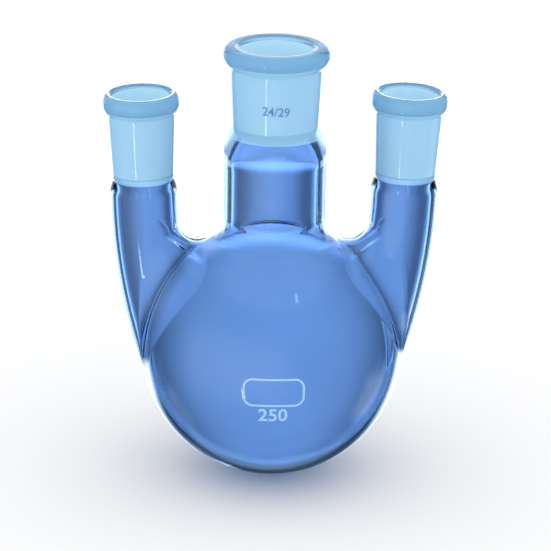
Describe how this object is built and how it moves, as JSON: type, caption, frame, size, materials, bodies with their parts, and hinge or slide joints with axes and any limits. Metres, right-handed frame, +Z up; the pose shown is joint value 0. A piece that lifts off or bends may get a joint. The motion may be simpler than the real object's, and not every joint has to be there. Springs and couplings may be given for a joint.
{
  "type": "three neck flask",
  "caption": "Round-bottom laboratory flask of tinted glass, with a centre neck and two bent side necks, each ending in a ground taper socket with a rolled rim.",
  "frame": {"origin": "the lowest point of the round body, under the centre neck", "axes": "+Z up along the centre neck, +X towards one side neck, +Y away from the viewer"},
  "size_m": [0.1114, 0.085, 0.144],
  "materials": {
    "glass": "clear blown glass with a blue tint, fire polished",
    "ground_glass": "fine ground, frosted on the inside of each socket",
    "marking": "fired white enamel, slightly raised"
  },
  "bodies": {
    "root": {"flask": "glass"}
  },
  "joints": []
}
